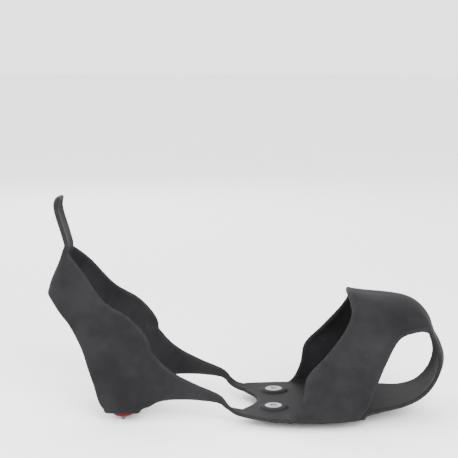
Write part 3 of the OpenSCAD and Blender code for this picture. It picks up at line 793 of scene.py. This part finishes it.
class CleatColours(bpy.types.PropertyGroup):
    """Colours and finish that a user may change."""

    rubber: FloatVectorProperty(name="Rubber", description="Colour of the rubber", subtype="COLOR",
                                size=3, min=0, max=1, default=(0.0100, 0.0100, 0.0108))
    worn_and_highlit_rubber: FloatVectorProperty(name="Worn and Highlit Rubber", description="Colour of worn and highlit rubber edges",
                                       subtype="COLOR", size=3, min=0, max=1, default=(0.019, 0.019, 0.0205))
    disc: FloatVectorProperty(name="Disc", description="Colour of the stud discs", subtype="COLOR",
                              size=3, min=0, max=1, default=(0.085, 0.0018, 0.0014))
    steel: FloatVectorProperty(name="Steel", description="Colour of the plated steel", subtype="COLOR",
                               size=3, min=0, max=1, default=(0.17, 0.168, 0.172))
    carbide: FloatVectorProperty(name="Tip", description="Colour of the hard tips", subtype="COLOR",
                                 size=3, min=0, max=1, default=(0.08, 0.08, 0.085))
    dust_tint: FloatVectorProperty(name="Dust Tint", description="Colour of the dust", subtype="COLOR",
                                   size=3, min=0, max=1, default=(0.075, 0.074, 0.073))
    dust: FloatProperty(name="Dust", description="How much dust lies in the grain", default=0.35,
                        min=0, max=1, subtype="FACTOR")
    edge_wear_and_highlight: FloatProperty(name="Edge Wear and Highlight", description="How strongly the rubber's edges are worn and highlit",
                             default=0.6, min=0, max=1, subtype="FACTOR")


class CleatStage(bpy.types.PropertyGroup):
    """Camera and lights."""

    azimuth: FloatProperty(name="Azimuth", description="Turn of the camera round the cleat",
                           default=math.radians(2.0), subtype="ANGLE", unit="ROTATION")
    elevation: FloatProperty(name="Elevation", description="Height of the camera as an angle",
                             default=math.radians(9.0), subtype="ANGLE", unit="ROTATION")
    distance: FloatProperty(name="Distance", description="Distance of the camera from its target",
                            default=1.0, min=0.2, max=5, subtype="DISTANCE", unit="LENGTH")
    lens: FloatProperty(name="Lens", description="Focal length in millimetres",
                        default=105.3, min=20, max=300, unit="CAMERA")
    target_x: FloatProperty(name="Target X", description="Where the camera looks along the cleat",
                            default=-12 * MM, subtype="DISTANCE", unit="LENGTH")
    target_z: FloatProperty(name="Target Z", description="Height at which the camera looks",
                            default=140 * MM, subtype="DISTANCE", unit="LENGTH")


# ------------------------------------------------------------------ operators


# Each lamp's name, its place and its width in metres, and its power in watts.
LAMPS = (
    ("key", (0.35, -1.05, 0.6), 0.7, 32),
    ("fill", (-0.9, -0.6, 0.55), 0.8, 12),
    ("back", (-0.3, 1.1, 0.7), 1.0, 8),
)
LAMP_TARGET = Vector((0.02, 0, 0.05))
ROOM_LIGHT = 2.6
FLOOR_REACH = 6


class CLEAT_OT_harness(bpy.types.Operator):
    """Build the rubber harness as three pieces, parted across the joints"""

    bl_idname = "cleat.harness"
    bl_label = "Rubber Harness"

    def execute(self, context):
        scene = context.scene
        grain = rubber_grain_group()
        wear_highlight_tree = edge_wear_and_highlight_group()
        rubber_material(scene.cleat_colours, grain, wear_highlight_tree)
        whole = build_harness(scene.cleat_sizes)
        bm = bmesh.new()
        bm.from_mesh(whole)
        for face in bm.faces:
            face.smooth = True
        mark_edges(bm)
        bm.to_mesh(whole)
        bm.free()
        rubber = bpy.data.materials["moulded_rubber"]

        web_cut = place((WEB_PARTING, 0, 0))
        tab_cut = place((0, 0, TAB_PARTING))
        forward = Vector((1, 0, 0))
        up = Vector((0, 0, 1))
        front = cut(whole, [(web_cut, -forward)], "harness_forefoot")
        heel = cut(whole, [(web_cut, forward), (tab_cut, up)], "harness_heel")
        tab = cut(whole, [(web_cut, forward), (tab_cut, -up)], "harness_tab")
        finish_piece(front, rubber, None, "rubber", "forefoot_plate", "toe_cap", "toe_strap",
                     "side_band_right", "side_band_left", "arch_strap_right", "arch_strap_left")
        finish_piece(heel, rubber, None, "rubber", "heel_bar", "heel_web_right", "heel_web_left",
                     "heel_strap_right", "heel_strap_left", "back_strap")
        finish_piece(tab, rubber, None, "rubber", "pull_tab")
        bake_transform(front)
        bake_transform(heel)
        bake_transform(tab)
        bpy.data.meshes.remove(whole)
        return {"FINISHED"}


class CLEAT_OT_studs(bpy.types.Operator):
    """Build the red discs, steel spikes, hard tips and flanged inserts of all the studs"""

    bl_idname = "cleat.studs"
    bl_label = "Studs"

    def execute(self, context):
        colours = context.scene.cleat_colours
        grain = bpy.data.node_groups["Moulded Grain"]
        wear_highlight_tree = bpy.data.node_groups["Worn and Highlit Edge"]
        red = disc_material(colours, grain, wear_highlight_tree)
        steel = metal_material("plated_steel", colours.steel, STEEL_ROUGHNESS, STEEL_RINGS, grain, wear_highlight_tree)
        carbide = metal_material("ground_tip", colours.carbide, TIP_ROUGHNESS, TIP_RINGS, grain, wear_highlight_tree)
        for stud in STUDS:
            body = body_of_stud(stud)
            centre = stud_centre(stud)
            self.disc(stud, body, centre, red)
            self.spike(stud, body, centre, steel)
            self.tip(stud, body, centre, carbide)
            self.insert(stud, body, centre, steel)
        return {"FINISHED"}

    def disc(self, stud, body, centre, skin):
        low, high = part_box(stud + "_disc")
        radius = half_width(stud + "_disc")
        rise = high.z - low.z
        profile = [
            (DISC_HOLE, low.z), (3.1 * MM, low.z), (3.35 * MM, low.z + 0.2 * MM),
            (4.7 * MM, low.z + 0.12 * rise), (5.9 * MM, low.z + 0.23 * rise),
            (6.8 * MM, low.z + 0.35 * rise), (radius, low.z + 0.5 * rise), (radius, high.z),
            (DISC_HOLE, high.z),
        ]
        thing = lathe(stud + "_red_disc", profile, centre, 0.14 * MM)
        finish_piece(thing, skin, body, "red_disc", stud + "_disc")

    def spike(self, stud, body, centre, skin):
        low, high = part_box(stud + "_spike")
        bore = half_width(stud + "_tip")
        pin = bore + PIN_WALL
        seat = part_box(stud + "_tip")[1].z + 0.02 * MM
        profile = [
            (0, seat), (bore, seat),
            (bore, low.z + 0.35 * MM), (bore + 0.3 * MM, low.z), (pin - 0.25 * MM, low.z),
            (pin, low.z + 0.3 * MM), (pin, low.z + 0.8 * MM), (pin - 0.18 * MM, low.z + 0.95 * MM),
            (pin, low.z + 1.1 * MM), (pin, low.z + 3 * MM), (SHANK_RADIUS, low.z + 3.4 * MM),
            (SHANK_RADIUS, high.z - 0.3 * MM), (1.8 * MM, high.z), (0, high.z),
        ]
        thing = lathe(stud + "_steel_spike", profile, centre, 0.06 * MM, 40)
        finish_piece(thing, skin, body, "stud_steel", stud + "_spike")

    def tip(self, stud, body, centre, skin):
        low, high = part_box(stud + "_tip")
        radius = half_width(stud + "_tip") - 0.01 * MM
        profile = [
            (0, low.z), (radius * 0.45, low.z + 0.02 * MM), (radius * 0.78, low.z + 0.12 * MM),
            (radius, low.z + 0.42 * MM), (radius, high.z), (0, high.z),
        ]
        thing = lathe(stud + "_hard_tip", profile, centre, 0.05 * MM, 32)
        finish_piece(thing, skin, body, "hard_tip", stud + "_tip")

    def insert(self, stud, body, centre, skin):
        low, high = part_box(stud + "_insert")
        flange = half_width(stud + "_insert")
        profile = [
            (INSERT_BORE, low.z), (SLEEVE_RADIUS, low.z), (SLEEVE_RADIUS, high.z - FLANGE_THICKNESS),
            (flange, high.z - FLANGE_THICKNESS), (flange, high.z - 0.35 * MM), (flange - 0.5 * MM, high.z),
            (4.4 * MM, high.z), (4.1 * MM, high.z - 0.18 * MM), (3.3 * MM, high.z - 0.18 * MM),
            (3.1 * MM, high.z), (INSERT_BORE + 0.35 * MM, high.z), (INSERT_BORE, high.z - 0.35 * MM),
        ]
        thing = lathe(stud + "_steel_insert", profile, centre, 0.07 * MM)
        finish_piece(thing, skin, body, "stud_steel", stud + "_insert")


class CLEAT_OT_stage(bpy.types.Operator):
    """Build the floor, the backdrop light, the lamps and the camera"""

    bl_idname = "cleat.stage"
    bl_label = "Stage"

    def execute(self, context):
        scene = context.scene
        settings = scene.cleat_stage
        world = bpy.data.worlds.new("studio")
        world.use_nodes = True
        background = world.node_tree.nodes["Background"]
        background.inputs["Color"].default_value = (1, 1, 1, 1)
        background.inputs["Strength"].default_value = ROOM_LIGHT
        scene.world = world

        bm = bmesh.new()
        bmesh.ops.create_grid(bm, x_segments=4, y_segments=4, size=FLOOR_REACH)
        mesh = bpy.data.meshes.new("floor")
        bm.to_mesh(mesh)
        bm.free()
        floor = bpy.data.objects.new("floor", mesh)
        scene.collection.objects.link(floor)
        made, n, shader, where = material("pale_floor")
        tint = n.mix(n.noise(where, FLOOR_CLOUD), (0.90, 0.90, 0.90, 1), (0.93, 0.93, 0.93, 1))
        n.feed(shader.inputs["Base Color"], tint)
        shader.inputs["Roughness"].default_value = FLOOR_ROUGHNESS
        mesh.materials.append(made)

        for name, spot, size, power in LAMPS:
            lamp = bpy.data.lights.new(name, "AREA")
            lamp.shape = "DISK"
            lamp.size = size
            lamp.energy = power
            thing = bpy.data.objects.new(name, lamp)
            thing.location = spot
            aim = LAMP_TARGET - Vector(spot)
            thing.rotation_euler = aim.to_track_quat("-Z", "Y").to_euler()
            scene.collection.objects.link(thing)

        lens = bpy.data.cameras.new("camera")
        lens.lens = settings.lens
        lens.sensor_width = 36
        lens.clip_start = 0.01
        camera = bpy.data.objects.new("camera", lens)
        target = Vector((settings.target_x, 0, settings.target_z))
        turn, rise = settings.azimuth, settings.elevation
        back = Vector((math.sin(turn) * math.cos(rise), -math.cos(turn) * math.cos(rise), math.sin(rise)))
        camera.location = target + back * settings.distance
        camera.rotation_mode = "QUATERNION"
        camera.rotation_quaternion = (-back).to_track_quat("-Z", "Y")
        scene.collection.objects.link(camera)
        scene.camera = camera
        return {"FINISHED"}


class CLEAT_PT_panel(bpy.types.Panel):
    """The ice cleat's sizes, colours and steps"""

    bl_idname = "CLEAT_PT_panel"
    bl_label = "Ice Cleat"
    bl_space_type = "VIEW_3D"
    bl_region_type = "UI"
    bl_category = "Ice Cleat"

    def draw(self, context):
        scene = context.scene
        layout = self.layout
        for settings in (scene.cleat_sizes, scene.cleat_colours, scene.cleat_stage):
            box = layout.box()
            for name in type(settings).__annotations__:
                box.prop(settings, name)
        for operator in OPERATORS:
            layout.operator(operator.bl_idname)


OPERATORS = (CLEAT_OT_harness, CLEAT_OT_studs, CLEAT_OT_stage)
SETTINGS = (CleatSizes, CleatColours, CleatStage)


def register():
    for made in (*SETTINGS, *OPERATORS, CLEAT_PT_panel):
        bpy.utils.register_class(made)
    bpy.types.Scene.cleat_sizes = PointerProperty(type=CleatSizes)
    bpy.types.Scene.cleat_colours = PointerProperty(type=CleatColours)
    bpy.types.Scene.cleat_stage = PointerProperty(type=CleatStage)


def unregister():
    del bpy.types.Scene.cleat_stage
    del bpy.types.Scene.cleat_colours
    del bpy.types.Scene.cleat_sizes
    for made in reversed((*SETTINGS, *OPERATORS, CLEAT_PT_panel)):
        bpy.utils.unregister_class(made)


def main():
    register()
    bpy.ops.cleat.harness()
    bpy.ops.cleat.studs()
    bpy.ops.cleat.stage()


if __name__ == "__main__":
    main()
